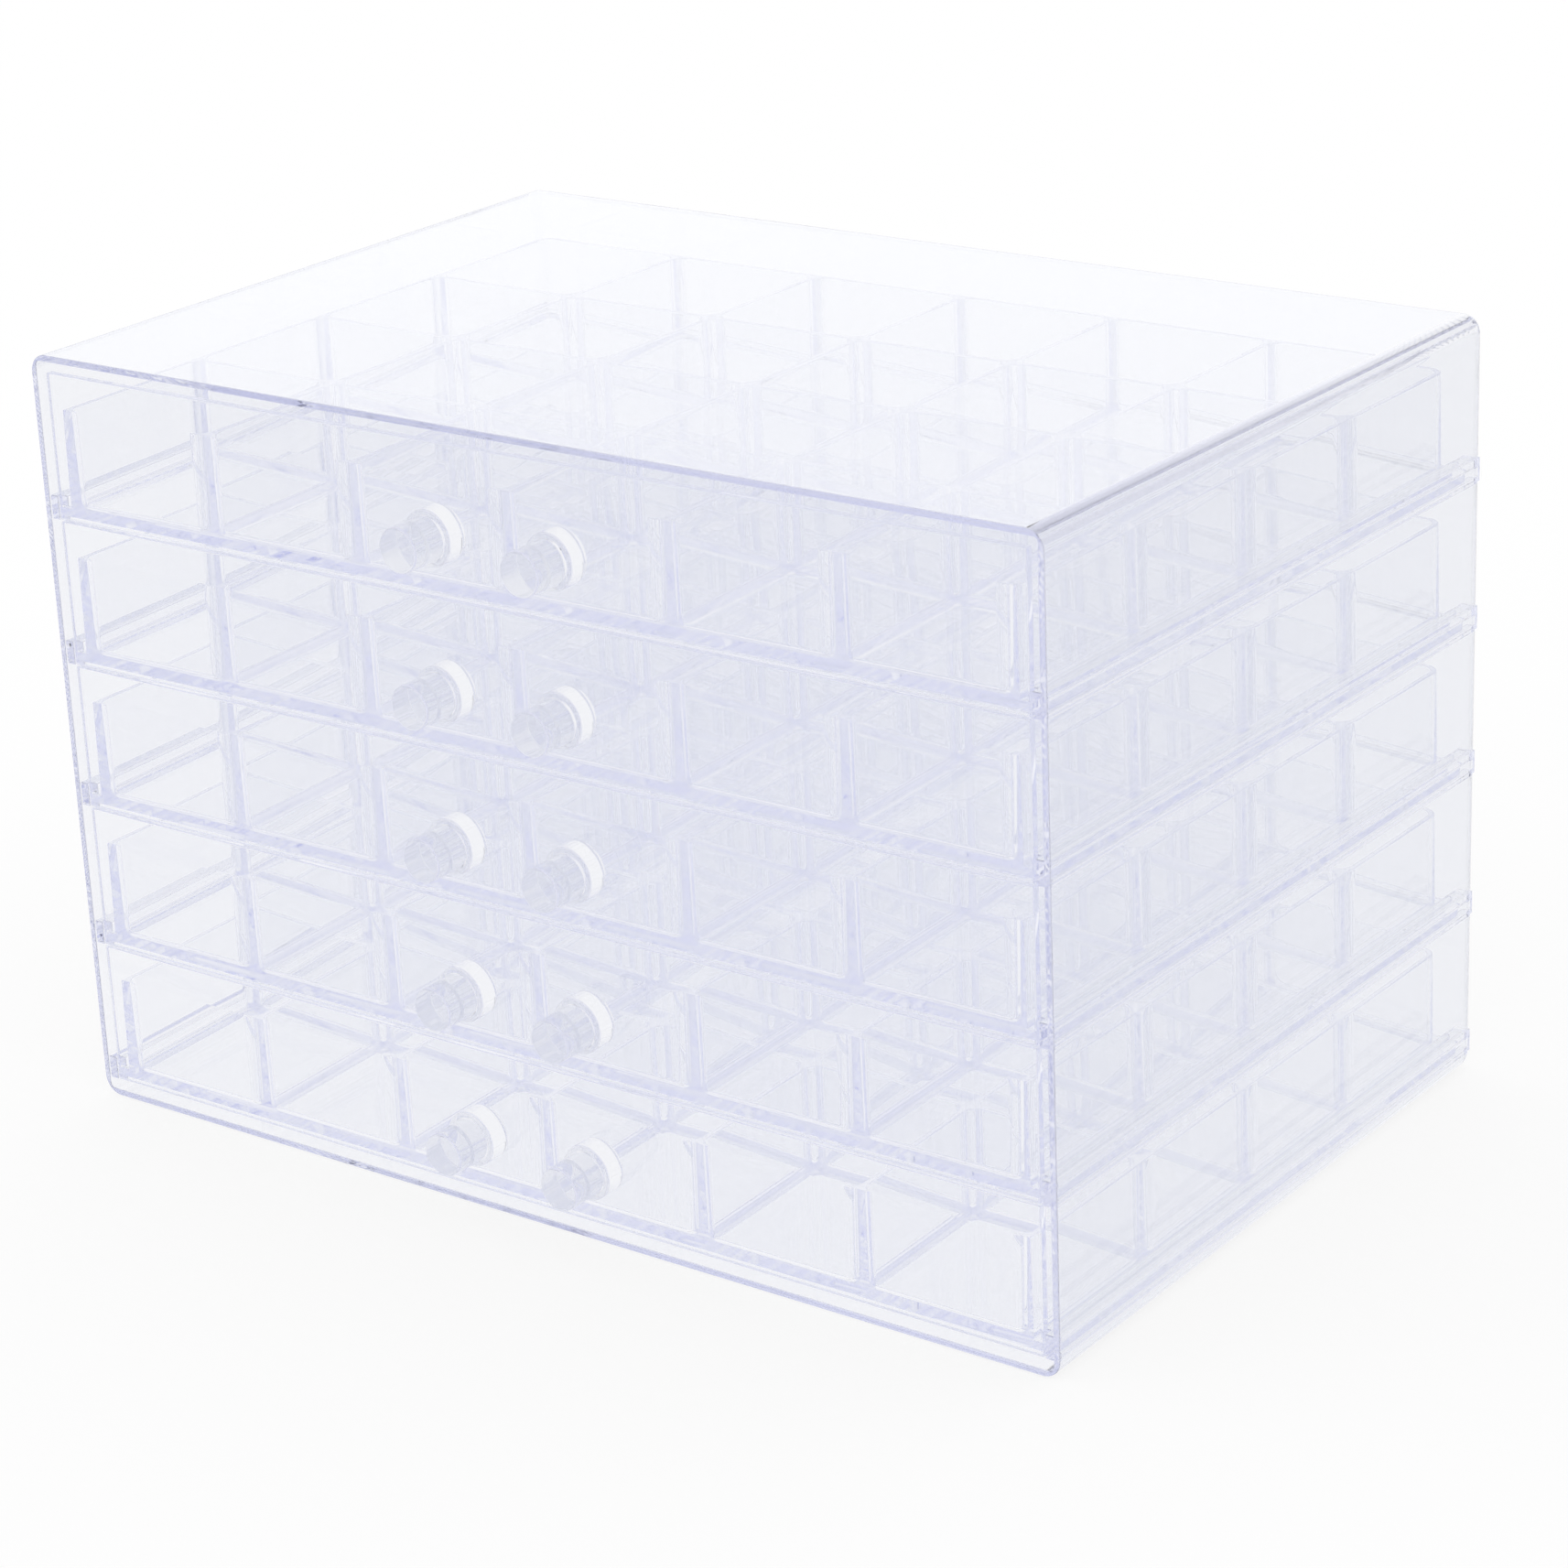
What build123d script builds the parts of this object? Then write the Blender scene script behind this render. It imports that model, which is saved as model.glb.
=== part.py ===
from build123d import *
import os

# A clear five-drawer organizer: one moulded case, open at the front, and five
# drawers that slide on grooved rails. Each drawer is one moulded tray with a
# grid of pockets behind its front, and carries two stepped knobs.
# Millimetres, +Z up. The origin is the middle of the case's underside.
# The drawer fronts face -Y.

# ---------------------------------------------------------------- case
case_width = 240.0
case_depth = 160.0
case_height = 162.0
case_wall = 1.4
case_corner = 4.0  # outside radius of every edge but the front rim's

# ---------------------------------------------------------------- drawer fronts
drawer_count = 5
front_margin = 2.3  # from the case's inner walls to the edges of the fronts
front_gap = 0.4  # between one front and the next
front_thickness = 1.8
front_setback = 0.2  # the fronts lie this far inside the case's rim

# ---------------------------------------------------------------- trays
columns = 6
rows = 4
tray_height = 23.2  # wall and divider tops above the front's lower edge
floor_thickness = 1.8
floor_lift = 0.7  # floor's underside above the front's lower edge
floor_overhang = 2.6  # floor beyond the side walls and the back wall
floor_corner = 4.0
tray_wall = 1.5  # side and back walls at their tops
divider = 1.2  # dividers at their tops
draft = 1.0  # degrees, on both faces of every wall and divider
pocket_corner = 3.0
pocket_fillet = 1.8
tray_corner = 4.0
back_clearance = 1.2  # from the floor's back edge to the case's back wall

# ---------------------------------------------------------------- rails
slide_gap = 0.1  # over and under the floor's edge in its groove
groove_gap = 0.3  # beside the floor's edge in its groove
lower_lip = 0.8
upper_lip = 2.2
lip_overlap = 1.4  # how far the lips reach over the floor's edge
lip_stop_gap = 0.4  # behind the fronts, where the lips' ends stop the drawers
rail_setback = 0.4  # the rails' front ends lie this far inside the case's rim

# ---------------------------------------------------------------- knobs
knob_spacing = 29.0
knob_lift = 13.1  # knob axis above the front's lower edge
knob_diameter = 9.0
knob_length = 8.4
collar_diameter = 11.4
collar_length = 4.6
knob_rim = 0.5
collar_rim = 0.4

# ---------------------------------------------------------------- worked out
rim_y = -case_depth / 2
front_y = rim_y + front_setback
front_back_y = front_y + front_thickness
front_middle_y = front_y + front_thickness / 2
back_inside_y = case_depth / 2 - case_wall
inside_half = case_width / 2 - case_wall

front_half = inside_half - front_margin
first_front_z = case_wall + front_margin
fronts_height = case_height - 2 * first_front_z
front_height = (fronts_height - (drawer_count - 1) * front_gap) / drawer_count
drawer_pitch = front_height + front_gap

floor_back_y = back_inside_y - back_clearance
floor_top = floor_lift + floor_thickness
wall_half = front_half - floor_overhang
wall_back_y = floor_back_y - floor_overhang

pocket_width = (2 * (wall_half - tray_wall) - (columns - 1) * divider) / columns
pocket_length = (wall_back_y - tray_wall - front_back_y - (rows - 1) * divider) / rows
pocket_depth = tray_height - floor_top
pockets_middle_y = (wall_back_y - tray_wall + front_back_y) / 2

groove_height = floor_thickness + 2 * slide_gap
groove_bottom = floor_lift - slide_gap
rail_bottom = groove_bottom - lower_lip
rail_height = lower_lip + groove_height + upper_lip
groove_half = front_half + groove_gap
lip_half = front_half - lip_overlap
rail_front_y = rim_y + rail_setback
lip_front_y = front_back_y + lip_stop_gap

from_below = (Align.CENTER, Align.MIN)  # a sketch on an upright plane grows upwards
from_front = (Align.CENTER, Align.MIN)  # a sketch on a level plane grows backwards

os.makedirs("parts", exist_ok=True)


def front_level(drawer):
    """Height of the lower edge of a drawer's front; drawer 1 is at the top."""
    return first_front_z + (drawer_count - drawer) * drawer_pitch


def save(part, name):
    """Label a finished piece and write it as one STEP file."""
    part.label = name
    export_step(part, f"parts/{name}.step")


# The case: a box with rounded edges, hollowed out from the front, and on each
# side wall one rail for each drawer. A rail is a web that fills the space
# beside the fronts, with two lips behind the fronts that hold the floor's edge.
with BuildPart() as case:
    Box(case_width, case_depth, case_height, align=(Align.CENTER, Align.CENTER, Align.MIN))
    rim_face = case.faces().sort_by(Axis.Y)[0]
    rounded = [edge for edge in case.edges() if edge not in rim_face.edges()]
    fillet(rounded, case_corner)
    offset(amount=-case_wall, openings=case.faces().sort_by(Axis.Y)[0])

    for drawer in range(1, drawer_count + 1):
        rail_z = front_level(drawer) + rail_bottom
        web_middle = (groove_half + inside_half) / 2
        lip_middle = (lip_half + groove_half) / 2
        upper_z = rail_z + lower_lip + groove_height
        with BuildSketch(Plane.XZ.offset(-rail_front_y)):
            with Locations((-web_middle, rail_z), (web_middle, rail_z)):
                Rectangle(inside_half - groove_half, rail_height, align=from_below)
        extrude(amount=rail_front_y - back_inside_y)
        with BuildSketch(Plane.XZ.offset(-lip_front_y)):
            with Locations((-lip_middle, rail_z), (lip_middle, rail_z)):
                Rectangle(groove_half - lip_half, lower_lip, align=from_below)
            with Locations((-lip_middle, upper_z), (lip_middle, upper_z)):
                Rectangle(groove_half - lip_half, upper_lip, align=from_below)
        extrude(amount=lip_front_y - back_inside_y)

save(case.part, "case")


# The space of one pocket, its open top on the XY plane and centred on the
# origin. It narrows downwards by the draft and is rounded where walls meet.
with BuildPart() as pocket:
    with BuildSketch():
        RectangleRounded(pocket_width, pocket_length, pocket_corner)
    extrude(amount=-pocket_depth, taper=draft)
    fillet(pocket.faces().sort_by(Axis.Z)[0].edges(), pocket_fillet)


# One tray, made at height 0: the front, the floor whose edge runs in the
# grooves, and a tapered block with a grid of tapered pockets cut into it.
with BuildPart() as tray:
    with BuildSketch(Plane.XZ.offset(-front_y)):
        Rectangle(2 * front_half, front_height, align=from_below)
    extrude(amount=-front_thickness)

    with BuildSketch(Plane.XY.offset(floor_lift)):
        with Locations((0, front_middle_y)):
            Rectangle(2 * front_half, floor_back_y - front_middle_y, align=from_front)
        fillet(vertices().group_by(Axis.Y)[-1], floor_corner)
    extrude(amount=floor_thickness)

    with BuildSketch(Plane.XY.offset(floor_top)):
        with Locations((0, front_middle_y)):
            Rectangle(2 * wall_half, wall_back_y - front_middle_y, align=from_front)
        fillet(vertices().group_by(Axis.Y)[-1], tray_corner)
    extrude(amount=pocket_depth, taper=draft)

    with Locations((0, pockets_middle_y, tray_height)):
        with GridLocations(pocket_width + divider, pocket_length + divider, columns, rows):
            add(pocket.part, mode=Mode.SUBTRACT)


# One knob, its axis along Y through the origin, its back on the XZ plane: a
# wide collar against the front, and a thinner cylinder to pull.
with BuildPart() as knob:
    with BuildSketch(Plane.XZ):
        Circle(collar_diameter / 2)
    extrude(amount=collar_length)
    with BuildSketch(Plane.XZ.offset(collar_length)):
        Circle(knob_diameter / 2)
    extrude(amount=knob_length)
    rims = knob.edges().filter_by(GeomType.CIRCLE).group_by(Axis.Y)
    fillet(rims[0], knob_rim)
    collar_edge = knob.edges().filter_by(GeomType.CIRCLE).sort_by(SortBy.RADIUS)
    front_collar_edge = collar_edge.filter_by_position(Axis.Y, -collar_length, -collar_length)[-1]
    fillet(front_collar_edge, collar_rim)


for drawer in range(1, drawer_count + 1):
    level = front_level(drawer)
    save(Pos(0, 0, level) * tray.part, f"drawer_{drawer}_tray")
    for side, sign in (("left", -1), ("right", 1)):
        place = Pos(sign * knob_spacing / 2, front_y, level + knob_lift)
        save(place * knob.part, f"drawer_{drawer}_knob_{side}")
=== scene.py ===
"""Looks of a clear plastic organizer with five drawers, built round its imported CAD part.

Every clear piece is one closed solid, so that light bends into and out of it once. A solid
is a stack of rounded outlines, and the case and the trays join or cut a few of those."""

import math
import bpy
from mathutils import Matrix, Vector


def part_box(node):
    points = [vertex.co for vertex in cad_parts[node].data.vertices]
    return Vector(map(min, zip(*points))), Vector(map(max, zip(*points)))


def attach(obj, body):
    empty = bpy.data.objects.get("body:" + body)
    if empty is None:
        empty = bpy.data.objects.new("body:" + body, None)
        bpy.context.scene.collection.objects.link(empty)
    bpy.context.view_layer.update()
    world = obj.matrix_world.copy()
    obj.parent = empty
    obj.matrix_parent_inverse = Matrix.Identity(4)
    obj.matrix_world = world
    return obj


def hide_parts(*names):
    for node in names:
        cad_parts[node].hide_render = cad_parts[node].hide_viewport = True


bl_info = {
    "name": "Clear Drawer Organizer",
    "version": (1, 0, 0),
    "blender": (4, 5, 0),
    "location": "3D View > Sidebar > Organizer",
    "description": "Builds a clear case with five sliding trays of pockets and their knobs",
    "category": "Object",
}

import bpy
import numpy as np
from mathutils import Matrix, Vector

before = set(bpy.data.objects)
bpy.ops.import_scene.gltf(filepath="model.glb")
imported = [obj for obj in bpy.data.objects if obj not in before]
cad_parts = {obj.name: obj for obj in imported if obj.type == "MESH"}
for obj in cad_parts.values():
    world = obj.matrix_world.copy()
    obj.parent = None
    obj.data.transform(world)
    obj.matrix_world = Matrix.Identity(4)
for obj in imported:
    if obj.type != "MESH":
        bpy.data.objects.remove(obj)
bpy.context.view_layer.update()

DRAWERS = 5
SIDES = ("left", "right")

# Small lengths in metres that only keep the solids sound.
SHARP = 0.0001  # radius of corners that look sharp
LEAST_RADIUS = 0.00003  # of any outline's corner
FLOOR_INSET = 0.00004  # a tray's floor, from the sides of its front
FLOOR_EDGE = 0.00025  # radius along a tray floor's edges
BLOCK_OVERLAP = 0.0006  # how deep the walls' block starts in a tray's floor
POCKET_RISE = 0.001  # how far a pocket's cutter goes above the walls
KNOB_EDGE = 0.00015  # radius round a knob's back, and the step in its neck
KNOB_POINTS = 96  # points round a knob
FLOOR_DROP = 0.0003  # the stage's floor below the object
SHARP_ANGLE = math.radians(40)
BOUNCES = 160


# ------------------------------------------------------------------ settings
def length(name, description, default):
    """A length setting in metres."""
    return bpy.props.FloatProperty(
        name=name, description=description, default=default, min=0.0, unit="LENGTH", precision=5
    )


def tint(name, description, default):
    """A colour setting."""
    return bpy.props.FloatVectorProperty(
        name=name, description=description, default=default, size=3, min=0.0, max=1.0, subtype="COLOR"
    )


class OrganizerCaseSettings(bpy.types.PropertyGroup):
    """Sizes of the case and its rails."""

    wall: length("Wall", "Thickness of the case's walls", 0.0014)
    corner: length("Corner", "Outside radius of the case's edges", 0.004)
    cavity_corner: length("Cavity corner", "Inside radius of the case's edges", 0.001)
    rim: length("Rim rounding", "Radius along the open rim", 0.00022)
    web_gap: length("Web gap", "From a tray floor's side to the rail's web", 0.0003)
    lip_overlap: length("Lip overlap", "How far the rail's lips reach over the floor", 0.0014)
    rail_below: length("Rail below", "Rail's underside below the front's lower edge", 0.0002)
    rail_height: length("Rail height", "Height of a rail", 0.005)
    groove_from: length("Groove from", "Groove's underside above the front's lower edge", 0.0006)
    groove_to: length("Groove to", "Groove's top above the front's lower edge", 0.0026)
    web_setback: length("Web setback", "From the rim to the web's front end", 0.0004)
    lip_setback: length("Lip setback", "From the rim to the lips' front ends", 0.0024)
    edge: length("Rail edge", "Radius along the rail's edges", 0.00022)


class OrganizerTraySettings(bpy.types.PropertyGroup):
    """Sizes of one tray."""

    front: length("Front", "Thickness of the drawer's front", 0.0018)
    front_edge: length("Front edge", "Radius along the front's edges", 0.0003)
    floor_from: length("Floor from", "Floor's underside above the front's lower edge", 0.0007)
    floor_to: length("Floor to", "Pocket floors above the front's lower edge", 0.0025)
    overhang: length("Overhang", "Floor beyond the side and back walls", 0.0026)
    corner: length("Corner", "Radius of the tray's back corners", 0.004)
    top: length("Top", "Tops of the walls above the front's lower edge", 0.0232)
    wall: length("Wall", "Side and back walls at their tops", 0.0015)
    divider: length("Divider", "Dividers at their tops", 0.0012)
    lip: length("Top rounding", "Radius along the tops of walls and dividers", 0.00032)
    pocket_corner: length("Pocket corner", "Radius of a pocket's upright corners", 0.003)
    pocket_fillet: length("Pocket fillet", "Radius round a pocket's floor", 0.0018)
    columns: bpy.props.IntProperty(name="Columns", description="Pockets across", default=6, min=1)
    rows: bpy.props.IntProperty(name="Rows", description="Pockets from front to back", default=4, min=1)
    draft: bpy.props.FloatProperty(
        name="Draft", description="Lean of every wall's face", default=math.radians(1.0), subtype="ANGLE"
    )


class OrganizerKnobSettings(bpy.types.PropertyGroup):
    """Sizes of one knob."""

    radius: length("Radius", "Radius of the part to pull", 0.0045)
    collar: length("Collar radius", "Radius of the collar against the front", 0.0057)
    collar_length: length("Collar length", "Length of the collar", 0.0046)
    rim: length("Rim rounding", "Radius round the knob's face", 0.0005)
    collar_rim: length("Collar rounding", "Radius round the collar's step", 0.0004)
    air: length("Air gap", "Film of air behind the knob", 0.00002)


class OrganizerLookSettings(bpy.types.PropertyGroup):
    """Colours of the plastic and the studio."""

    refraction: bpy.props.FloatProperty(
        name="Refraction", description="Index of refraction of the plastic", default=1.59, min=1.0
    )
    case_surface: tint("Case surface", "Colour kept at each surface of the case", (0.92, 0.926, 0.948))
    tray_surface: tint("Tray surface", "Colour kept at each surface of a tray", (0.981, 0.983, 0.989))
    # The knobs' colour is the plastic's own faint tint made darker than the trays' as painted shade,
    # standing in for the dark surroundings that the knobs reflect.
    knob_tint_and_painted_shade: tint("Knob surface", "Colour kept at each surface of a knob", (0.92, 0.925, 0.94))
    depth_tint: tint(
        "Depth tint", "Colour of light after a long way through the plastic", (0.16, 0.22, 0.84)
    )
    depth: bpy.props.FloatProperty(
        name="Depth", description="Absorption per metre of a tray's plastic", default=1.7, min=0.0
    )
    case_depth: bpy.props.FloatProperty(
        name="Case depth", description="Absorption per metre of the case's plastic", default=0.8, min=0.0
    )
    floor: tint("Floor", "Colour of the floor", (1.0, 1.0, 1.0))
    side_card: tint("Side card", "Colour of the pale card beside the set", (0.55, 0.57, 0.76))
    far_card: tint("Far card", "Colour of the card behind the camera", (0.5, 0.52, 0.66))
    softbox: bpy.props.FloatProperty(
        name="Softbox", description="Strength of the softbox that the lid mirrors", default=1.28, min=0.0
    )
    shade: bpy.props.FloatProperty(
        name="Shade", description="How much of the floor's shadow shows", default=0.15, min=0.0, max=1.0
    )
    dark_card: tint("Dark card", "Colour of the narrow dark cards", (0.1, 0.11, 0.17))


# ------------------------------------------------------------------ geometry
def outlines(boxes, radii, segments):
    """Rounded rectangles as an array (outline, point, 2), counter-clockwise.

    A box is (lowest a, highest a, lowest b, highest b). The four radii go with the corners
    high-high, low-high, low-low and high-low. A corner's points are its arc's centre plus its
    radius times (cosine, sine) of an angle that goes round in even steps."""
    boxes, radii = np.asarray(boxes, float), np.asarray(radii, float)
    side_a, side_b = np.array([1, -1, -1, 1]), np.array([1, 1, -1, -1])
    centre_a = boxes[:, [1, 0, 0, 1]] - side_a * radii
    centre_b = boxes[:, [3, 3, 2, 2]] - side_b * radii
    angle = np.linspace(0, np.pi / 2, segments + 1) + np.arange(4)[:, None] * np.pi / 2
    a = centre_a[..., None] + radii[..., None] * np.cos(angle)
    b = centre_b[..., None] + radii[..., None] * np.sin(angle)
    return np.stack([a, b], -1).reshape(len(boxes), -1, 2)


def ring_faces(rings, count):
    """Faces that join each ring of points to the next, and close the first and the last."""
    start = np.arange(rings - 1)[:, None] * count
    here, after = np.arange(count), np.roll(np.arange(count), -1)
    quads = np.stack([start + here, start + after, start + count + after, start + count + here], -1)
    faces = quads.reshape(-1, 4).tolist()
    faces.append(here[::-1].tolist())
    faces.append(((rings - 1) * count + here).tolist())
    return faces


def stack(box, radii, insets, levels, segments=8, upright=False):
    """A closed solid as (points, faces): one outline per level, each inset from the box.

    Insets are one number per level or four, one per side. Neighbouring outlines are joined by
    four-sided faces, and the first and last are closed. Upright stacks go along -Y and the
    others along +Z."""
    insets = np.asarray(insets, float)
    if insets.ndim == 1:
        insets = np.repeat(insets[:, None], 4, 1)
    levels = np.asarray(levels, float)
    boxes = np.asarray(box, float) + insets * np.array([1, -1, 1, -1])
    sides = np.maximum(insets[:, [1, 0, 0, 1]], insets[:, [3, 3, 2, 2]])
    rounds = np.maximum(np.asarray(radii, float) - sides, LEAST_RADIUS)
    flat = outlines(boxes, rounds, segments)
    count = flat.shape[1]
    along = np.repeat(levels[:, None], count, 1)
    if upright:
        points = np.stack([flat[..., 0], -along, flat[..., 1]], -1)
    else:
        points = np.stack([flat[..., 0], flat[..., 1], along], -1)
    return points.reshape(-1, 3), ring_faces(len(levels), count)


def rounding(radius, steps=3):
    """(insets, rises) of a quarter circle that starts fully inset and ends flush."""
    turn = np.linspace(0, np.pi / 2, steps + 1)
    return radius * (1 - np.sin(turn)), radius * (1 - np.cos(turn))


def plate(box, radii, low, high, edge, segments=6, upright=False):
    """A plate between two levels with rounded edges all round."""
    inset, rise = rounding(edge)
    insets = np.concatenate([inset, inset[::-1]])
    levels = np.concatenate([low + rise, high - rise[::-1]])
    return stack(box, radii, insets, levels, segments, upright)


def gather(solids):
    """Several solids as one list of points and one of faces."""
    points, faces, start = [], [], 0
    for solid_points, solid_faces in solids:
        points.append(solid_points)
        faces += [[corner + start for corner in face] for face in solid_faces]
        start += len(solid_points)
    return np.concatenate(points), faces


def new_piece(name, solid):
    """An object at the origin with the solid's points in the row frame."""
    points, faces = solid
    mesh = bpy.data.meshes.new(name)
    mesh.from_pydata(np.asarray(points).tolist(), [], faces)
    mesh.validate()
    piece = bpy.data.objects.new(name, mesh)
    bpy.context.scene.collection.objects.link(piece)
    return piece


def combine(base, others):
    """The base solid with each (solid, operation) of others joined or cut, as a mesh."""
    target = new_piece("combined", base)
    helpers = []
    for index, (solid, operation) in enumerate(others):
        helper = new_piece(f"helper_{index}", solid)
        step = target.modifiers.new(f"step_{index}", "BOOLEAN")
        step.operation, step.solver, step.object = operation, "EXACT", helper
        helpers.append(helper)
    scene_state = bpy.context.evaluated_depsgraph_get()
    made = bpy.data.meshes.new_from_object(target.evaluated_get(scene_state))
    for used in [target, *helpers]:
        spare = used.data
        bpy.data.objects.remove(used)
        bpy.data.meshes.remove(spare)
    if len(made.polygons) == 0:
        raise RuntimeError("the combined solid came out empty")
    return made


def finish_piece(piece, body, material, nodes):
    """Smooth faces with true flats, a material, and the body, slot and nodes it stands for."""
    piece.data.shade_smooth()
    piece.data.set_sharp_from_angle(angle=SHARP_ANGLE)
    even = piece.modifiers.new("even_normals", "WEIGHTED_NORMAL")
    even.keep_sharp = True
    piece.data.materials.clear()
    piece.data.materials.append(material)
    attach(piece, body)
    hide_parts(*nodes)


# ------------------------------------------------------------------ materials
def clear_plastic(name, looks, surface, absorption, wave, smear):
    """Clear plastic: a faint flow pattern bends its surface and a few smears dull it."""
    material = bpy.data.materials.new(name)
    material.use_nodes = True
    tree = material.node_tree
    shader = tree.nodes["Principled BSDF"]
    shader.inputs["Base Color"].default_value = (*surface, 1)
    shader.inputs["Transmission Weight"].default_value = 1.0
    shader.inputs["IOR"].default_value = looks.refraction
    place = tree.nodes.new("ShaderNodeTexCoord")
    flow = tree.nodes.new("ShaderNodeTexNoise")
    flow.inputs["Scale"].default_value = 22.0
    flow.inputs["Detail"].default_value = 1.0
    bump = tree.nodes.new("ShaderNodeBump")
    bump.inputs["Strength"].default_value = 1.0
    bump.inputs["Distance"].default_value = wave
    tree.links.new(place.outputs["Object"], flow.inputs["Vector"])
    tree.links.new(flow.outputs["Fac"], bump.inputs["Height"])
    tree.links.new(bump.outputs["Normal"], shader.inputs["Normal"])
    smears = tree.nodes.new("ShaderNodeTexNoise")
    smears.inputs["Scale"].default_value = 60.0
    smears.inputs["Detail"].default_value = 3.0
    dull = tree.nodes.new("ShaderNodeMapRange")
    dull.inputs["From Min"].default_value = 0.62
    dull.inputs["From Max"].default_value = 0.85
    dull.inputs["To Min"].default_value = 0.0
    dull.inputs["To Max"].default_value = smear
    tree.links.new(place.outputs["Object"], smears.inputs["Vector"])
    tree.links.new(smears.outputs["Fac"], dull.inputs["Value"])
    tree.links.new(dull.outputs["Result"], shader.inputs["Roughness"])
    depth = tree.nodes.new("ShaderNodeVolumeAbsorption")
    depth.inputs["Color"].default_value = (*looks.depth_tint, 1)
    depth.inputs["Density"].default_value = absorption
    tree.links.new(depth.outputs["Volume"], tree.nodes["Material Output"].inputs["Volume"])
    return material


def plain(name, colour, strength=1.0):
    """A card of one colour that no light changes."""
    material = bpy.data.materials.new(name)
    material.use_nodes = True
    tree = material.node_tree
    tree.nodes.clear()
    light = tree.nodes.new("ShaderNodeEmission")
    light.inputs["Color"].default_value = (*colour, 1)
    light.inputs["Strength"].default_value = strength
    output = tree.nodes.new("ShaderNodeOutputMaterial")
    tree.links.new(light.outputs["Emission"], output.inputs["Surface"])
    return material


def white_paper(colour, shade):
    """White paper that takes a soft shadow, and is plain white to reflected and bent light."""
    material = bpy.data.materials.new("white_paper")
    material.use_nodes = True
    tree = material.node_tree
    tree.nodes.clear()
    matt = tree.nodes.new("ShaderNodeBsdfDiffuse")
    matt.inputs["Color"].default_value = (*colour, 1)
    white = tree.nodes.new("ShaderNodeEmission")
    white.inputs["Color"].default_value = (*colour, 1)
    path = tree.nodes.new("ShaderNodeLightPath")
    either = tree.nodes.new("ShaderNodeMath")
    either.operation = "MAXIMUM"
    least = tree.nodes.new("ShaderNodeMath")
    least.operation = "MAXIMUM"
    least.inputs[1].default_value = 1.0 - shade
    mix = tree.nodes.new("ShaderNodeMixShader")
    output = tree.nodes.new("ShaderNodeOutputMaterial")
    tree.links.new(path.outputs["Is Glossy Ray"], either.inputs[0])
    tree.links.new(path.outputs["Is Transmission Ray"], either.inputs[1])
    tree.links.new(either.outputs["Value"], least.inputs[0])
    tree.links.new(least.outputs["Value"], mix.inputs["Fac"])
    tree.links.new(matt.outputs["BSDF"], mix.inputs[1])
    tree.links.new(white.outputs["Emission"], mix.inputs[2])
    tree.links.new(mix.outputs["Shader"], output.inputs["Surface"])
    return material


# ------------------------------------------------------------------ pieces
class ORGANIZER_OT_case(bpy.types.Operator):
    """Builds the case: a hollow box open at the front, with a rail for each side of each drawer"""

    bl_idname = "organizer.case"
    bl_label = "Build case"

    def execute(self, context):
        sizes, looks = context.scene.organizer_case, context.scene.organizer_looks
        low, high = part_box("case")
        box = (low.x, high.x, low.z, high.z)

        outer_inset, outer_rise = rounding(sizes.corner, 10)
        rim_inset, rim_rise = rounding(sizes.rim, 3)
        inner_inset, inner_rise = rounding(sizes.cavity_corner, 6)
        insets = np.concatenate(
            [
                outer_inset,
                rim_inset[::-1],
                sizes.wall - rim_inset,
                sizes.wall + inner_inset[::-1],
            ]
        )
        levels = np.concatenate(
            [
                -high.y + outer_rise,
                -low.y - rim_rise[::-1],
                -low.y - rim_rise,
                -high.y + sizes.wall + inner_rise[::-1],
            ]
        )
        outside = np.arange(len(insets)) < len(outer_inset) + len(rim_inset)
        radii = np.where(outside, sizes.corner, sizes.wall + sizes.cavity_corner)
        shell = stack(box, np.repeat(radii[:, None], 4, 1), insets, levels, 10, upright=True)

        # Rails: a web against the wall, and two lips that hold the floor's side.
        tray_low, tray_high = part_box("drawer_1_tray")
        groove_x = tray_high.x + sizes.web_gap
        lip_x = tray_high.x - sizes.lip_overlap
        buried = high.x - sizes.wall / 2
        back = -high.y + sizes.wall / 2
        rails = []
        for drawer in range(1, DRAWERS + 1):
            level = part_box(f"drawer_{drawer}_tray")[0].z
            under = level - sizes.rail_below
            over = under + sizes.rail_height
            groove = (level + sizes.groove_from, level + sizes.groove_to)
            for side in (-1, 1):
                for x_near, from_y, z_low, z_high in (
                    (groove_x, sizes.web_setback, under, over),
                    (lip_x, sizes.lip_setback, under, groove[0]),
                    (lip_x, sizes.lip_setback, groove[1], over),
                ):
                    x_range = sorted((side * x_near, side * buried))
                    rails.append(
                        plate(
                            (*x_range, z_low, z_high),
                            [sizes.edge] * 4,
                            back,
                            -low.y - from_y,
                            sizes.edge,
                            3,
                            upright=True,
                        )
                    )
        webs = gather(rails[0::3])
        lower, upper = gather(rails[1::3]), gather(rails[2::3])
        mesh = combine(shell, [(webs, "UNION"), (lower, "UNION"), (upper, "UNION")])
        piece = bpy.data.objects.new("clear_case", mesh)
        context.scene.collection.objects.link(piece)
        material = clear_plastic(
            "case_clear_plastic", looks, looks.case_surface, looks.case_depth, 0.000012, 0.02
        )
        finish_piece(piece, "case", material, ["case"])
        return {"FINISHED"}


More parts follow.
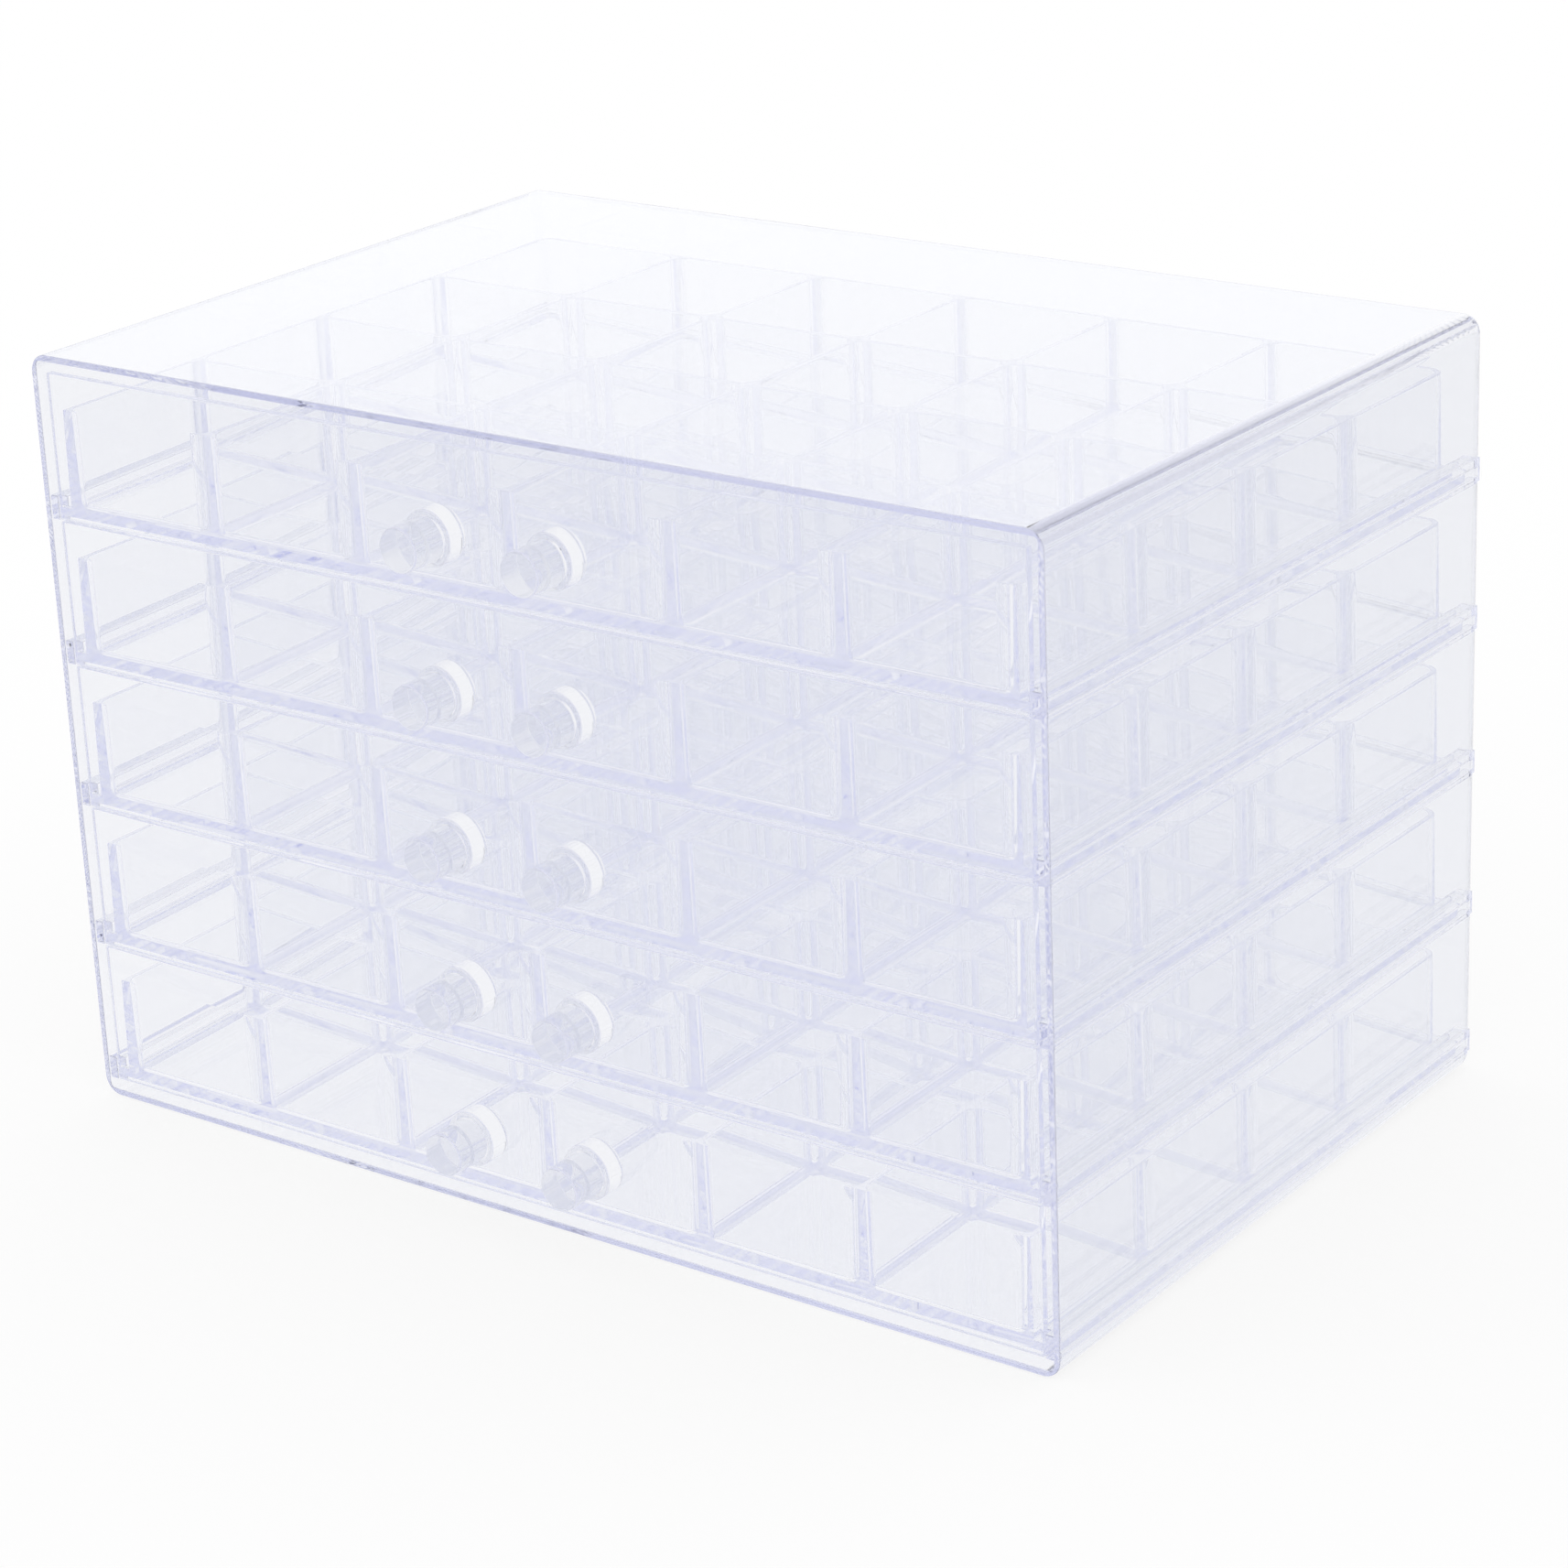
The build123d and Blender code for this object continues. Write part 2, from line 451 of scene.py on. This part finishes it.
class ORGANIZER_OT_trays(bpy.types.Operator):
    """Builds the five trays: a front, a floor with a free edge, and a grid of pockets"""

    bl_idname = "organizer.trays"
    bl_label = "Build trays"

    def execute(self, context):
        sizes, looks = context.scene.organizer_tray, context.scene.organizer_looks
        low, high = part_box("drawer_1_tray")
        edge = sizes.front_edge
        front_back = low.y + sizes.front
        front_middle = low.y + sizes.front / 2
        lean = math.tan(sizes.draft)

        front = plate(
            (low.x, high.x, 0, high.z - low.z), [edge] * 4, -front_back, -low.y, edge, 4, upright=True
        )
        floor = plate(
            (low.x + FLOOR_INSET, high.x - FLOOR_INSET, front_middle, high.y),
            [sizes.corner, sizes.corner, SHARP, SHARP],
            sizes.floor_from,
            sizes.floor_to,
            FLOOR_EDGE,
            8,
        )
        wall_x, wall_y = high.x - sizes.overhang, high.y - sizes.overhang
        top_inset, top_rise = rounding(sizes.lip)
        foot = sizes.floor_to - BLOCK_OVERLAP
        levels = np.concatenate([[foot], sizes.top - top_rise[::-1]])
        insets = (levels - sizes.floor_to) * lean + np.concatenate([[0], top_inset[::-1]])
        insets = np.stack([insets, insets, insets * 0, insets], -1)
        block = stack(
            (-wall_x, wall_x, front_middle, wall_y),
            [sizes.corner, sizes.corner, SHARP, SHARP],
            insets,
            levels,
            8,
        )

        # Pockets narrow downwards, are rounded round their floors and flare at their tops,
        # but not where the front itself is the pocket's wall.
        inner_x, inner_y = wall_x - sizes.wall, wall_y - sizes.wall
        wide = (2 * inner_x - (sizes.columns - 1) * sizes.divider) / sizes.columns
        long = (inner_y - front_back - (sizes.rows - 1) * sizes.divider) / sizes.rows
        fillet_inset, fillet_rise = rounding(sizes.pocket_fillet, 6)
        wall_levels = np.array([sizes.top - sizes.lip])
        flare_rise = sizes.top - top_rise[::-1]
        levels = np.concatenate(
            [sizes.floor_to + fillet_rise, wall_levels, flare_rise[1:], [sizes.top + POCKET_RISE]]
        )
        narrowing = np.maximum(sizes.top - levels, 0) * lean
        bottom = np.concatenate([fillet_inset, np.zeros(len(levels) - len(fillet_inset))])
        flare = np.concatenate(
            [np.zeros(len(fillet_inset) + 1), top_inset[::-1][1:], [sizes.lip]]
        )
        pockets = []
        for row in range(sizes.rows):
            y_low = front_back + row * (long + sizes.divider)
            sides = np.repeat((narrowing + bottom - flare)[:, None], 4, 1)
            if row == 0:
                sides[:, 2] = narrowing + bottom
            for column in range(sizes.columns):
                x_low = -inner_x + column * (wide + sizes.divider)
                pockets.append(
                    stack(
                        (x_low, x_low + wide, y_low, y_low + long),
                        [sizes.pocket_corner] * 4,
                        sides,
                        levels,
                        6,
                    )
                )
        mesh = combine(front, [(floor, "UNION"), (block, "UNION"), (gather(pockets), "DIFFERENCE")])
        material = clear_plastic(
            "tray_clear_plastic", looks, looks.tray_surface, looks.depth, 0.000012, 0.02
        )
        for drawer in range(1, DRAWERS + 1):
            node = f"drawer_{drawer}_tray"
            own = mesh.copy()
            own.transform(Matrix.Translation((0, 0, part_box(node)[0].z)))
            piece = bpy.data.objects.new(f"clear_tray_{drawer}", own)
            context.scene.collection.objects.link(piece)
            finish_piece(piece, f"drawer_{drawer}", material, [node])
        bpy.data.meshes.remove(mesh)
        return {"FINISHED"}


class ORGANIZER_OT_knobs(bpy.types.Operator):
    """Builds the ten stepped knobs"""

    bl_idname = "organizer.knobs"
    bl_label = "Build knobs"

    def execute(self, context):
        sizes, looks = context.scene.organizer_knob, context.scene.organizer_looks
        # The knobs' colour is darker than the trays' as painted shade for the dark surroundings they
        # reflect; the rest is the plastic's own tint.
        material = clear_plastic(
            "knob_clear_plastic", looks, looks.knob_tint_and_painted_shade, looks.depth, 0.000006, 0.02
        )
        for drawer in range(1, DRAWERS + 1):
            for side in SIDES:
                node = f"drawer_{drawer}_knob_{side}"
                low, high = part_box(node)
                points, faces = self.turned(sizes, high.y - low.y)
                centre = np.array([(low.x + high.x) / 2, high.y, (low.z + high.z) / 2])
                piece = new_piece(f"clear_knob_{drawer}_{side}", (points + centre, faces))
                finish_piece(piece, f"drawer_{drawer}", material, [node])
        return {"FINISHED"}

    @staticmethod
    def turned(sizes, reach):
        """A knob turned about -Y: radii and distances from its back, taken round in even steps."""
        rim_inset, rim_rise = rounding(sizes.rim, 5)
        step_inset, step_rise = rounding(sizes.collar_rim, 5)
        back_inset, back_rise = rounding(KNOB_EDGE, 2)
        radius = np.concatenate(
            [
                sizes.collar - back_inset,
                (sizes.collar - step_inset)[::-1],
                [sizes.radius + KNOB_EDGE, sizes.radius],
                (sizes.radius - rim_inset)[::-1],
            ]
        )
        reaches = np.concatenate(
            [
                sizes.air + back_rise,
                (sizes.collar_length - step_rise)[::-1],
                [sizes.collar_length, sizes.collar_length + KNOB_EDGE],
                (reach - rim_rise)[::-1],
            ]
        )
        count = KNOB_POINTS
        angle = np.arange(count) * 2 * np.pi / count
        points = np.stack(
            [
                radius[:, None] * np.cos(angle),
                np.repeat(-reaches[:, None], count, 1),
                radius[:, None] * np.sin(angle),
            ],
            -1,
        ).reshape(-1, 3)
        return points, ring_faces(len(radius), count)


class ORGANIZER_OT_stage(bpy.types.Operator):
    """Builds the white floor, the light, the cards beside the set and the camera"""

    bl_idname = "organizer.stage"
    bl_label = "Build stage"

    def execute(self, context):
        looks, scene = context.scene.organizer_looks, context.scene
        world = bpy.data.worlds.new("white_room")
        world.use_nodes = True
        world.node_tree.nodes["Background"].inputs["Color"].default_value = (1, 1, 1, 1)
        world.node_tree.nodes["Background"].inputs["Strength"].default_value = 1.0
        scene.world = world

        half = 6.0
        points = np.array([[-half, -half, 0], [half, -half, 0], [half, half, 0], [-half, half, 0]])
        floor = new_piece("floor", (points + (0, 0, -FLOOR_DROP), [[0, 1, 2, 3]]))
        floor.data.materials.append(white_paper(looks.floor, looks.shade))

        side, far, dark = (
            plain("side_card", looks.side_card),
            plain("far_card", looks.far_card),
            plain("dark_card", looks.dark_card),
        )
        glow = plain("softbox", (1, 1, 1), looks.softbox)
        towards_set = (-0.56, 0.75, -0.36)
        self.card("card_right", (1.6, 0.5, 0.5), (-1, -0.1, 0), 0.9, 0.45, side)
        room = self.card("card_behind_camera", (1.15, -1.55, 0.75), towards_set, 0.9, 0.6, far)
        room.visible_transmission = False
        self.card("strip_right", (1.3, -0.5, 0.45), (-0.9, 0.4, 0), 0.08, 0.45, dark)
        self.card("strip_left", (-1.3, -0.6, 0.4), (1, 0.4, 0), 0.10, 0.4, dark)
        self.card("strip_above", (0.0, -0.6, 1.2), (0, 0.3, -1), 0.7, 0.12, dark)
        from_behind = (0.56, -0.75, -0.36)
        softbox = self.card("softbox", (-0.95, 1.2, 0.78), from_behind, 0.75, 0.42, glow)
        softbox.visible_transmission = False

        # Light is led a long way inside thin walls, and a rim turns black when bounces run out.
        scene.cycles.max_bounces = BOUNCES
        scene.cycles.transmission_bounces = BOUNCES
        scene.cycles.glossy_bounces = BOUNCES
        scene.view_settings.view_transform = "Standard"

        lens = bpy.data.cameras.new("camera")
        lens.lens, lens.sensor_width = 100.0, 36.0
        lens.clip_start, lens.clip_end = 0.05, 50
        camera = bpy.data.objects.new("camera", lens)
        scene.collection.objects.link(camera)
        turn, rise, roll = math.radians(36.905), math.radians(20.965), math.radians(-2.464)
        level = math.cos(rise)
        back = Vector((math.sin(turn) * level, -math.cos(turn) * level, math.sin(rise)))
        right = (-back).cross(Vector((0, 0, 1))).normalized()
        up = right.cross(-back)
        across = right * math.cos(roll) + up * math.sin(roll)
        upward = up * math.cos(roll) - right * math.sin(roll)
        place = Matrix((across, upward, back)).transposed().to_4x4()
        place.translation = Vector((0.003036, 0, 0.066988)) + back * 0.892158
        camera.matrix_world = place
        scene.camera = camera
        return {"FINISHED"}

    @staticmethod
    def card(name, centre, facing, half_width, half_height, material):
        """A flat unlit card that only shows in reflections and through the clear pieces."""
        facing = Vector(facing).normalized()
        across = facing.cross(Vector((0, 0, 1))).normalized() * half_width
        upward = across.cross(facing).normalized() * half_height
        middle, signs = Vector(centre), ((-1, -1), (1, -1), (1, 1), (-1, 1))
        corners = [middle + a * across + u * upward for a, u in signs]
        card = new_piece(name, (np.array(corners), [[0, 1, 2, 3]]))
        card.data.materials.append(material)
        card.visible_camera = card.visible_diffuse = card.visible_shadow = False
        return card


class ORGANIZER_PT_panel(bpy.types.Panel):
    """Lists the steps that build the organizer."""

    bl_idname = "ORGANIZER_PT_panel"
    bl_label = "Organizer"
    bl_space_type = "VIEW_3D"
    bl_region_type = "UI"
    bl_category = "Organizer"

    def draw(self, context):
        for step in STEPS:
            self.layout.operator(step.bl_idname)


GROUPS = {
    "organizer_case": OrganizerCaseSettings,
    "organizer_tray": OrganizerTraySettings,
    "organizer_knob": OrganizerKnobSettings,
    "organizer_looks": OrganizerLookSettings,
}
STEPS = (ORGANIZER_OT_case, ORGANIZER_OT_trays, ORGANIZER_OT_knobs, ORGANIZER_OT_stage)


def register():
    """Registers the settings, the steps and the panel."""
    for name, group in GROUPS.items():
        bpy.utils.register_class(group)
        setattr(bpy.types.Scene, name, bpy.props.PointerProperty(type=group))
    for step in STEPS:
        bpy.utils.register_class(step)
    bpy.utils.register_class(ORGANIZER_PT_panel)


def unregister():
    """Removes what register added."""
    bpy.utils.unregister_class(ORGANIZER_PT_panel)
    for step in reversed(STEPS):
        bpy.utils.unregister_class(step)
    for name, group in reversed(GROUPS.items()):
        delattr(bpy.types.Scene, name)
        bpy.utils.unregister_class(group)


def main():
    """Builds the pieces and the stage."""
    register()
    bpy.ops.organizer.case()
    bpy.ops.organizer.trays()
    bpy.ops.organizer.knobs()
    bpy.ops.organizer.stage()


if __name__ == "__main__":
    main()
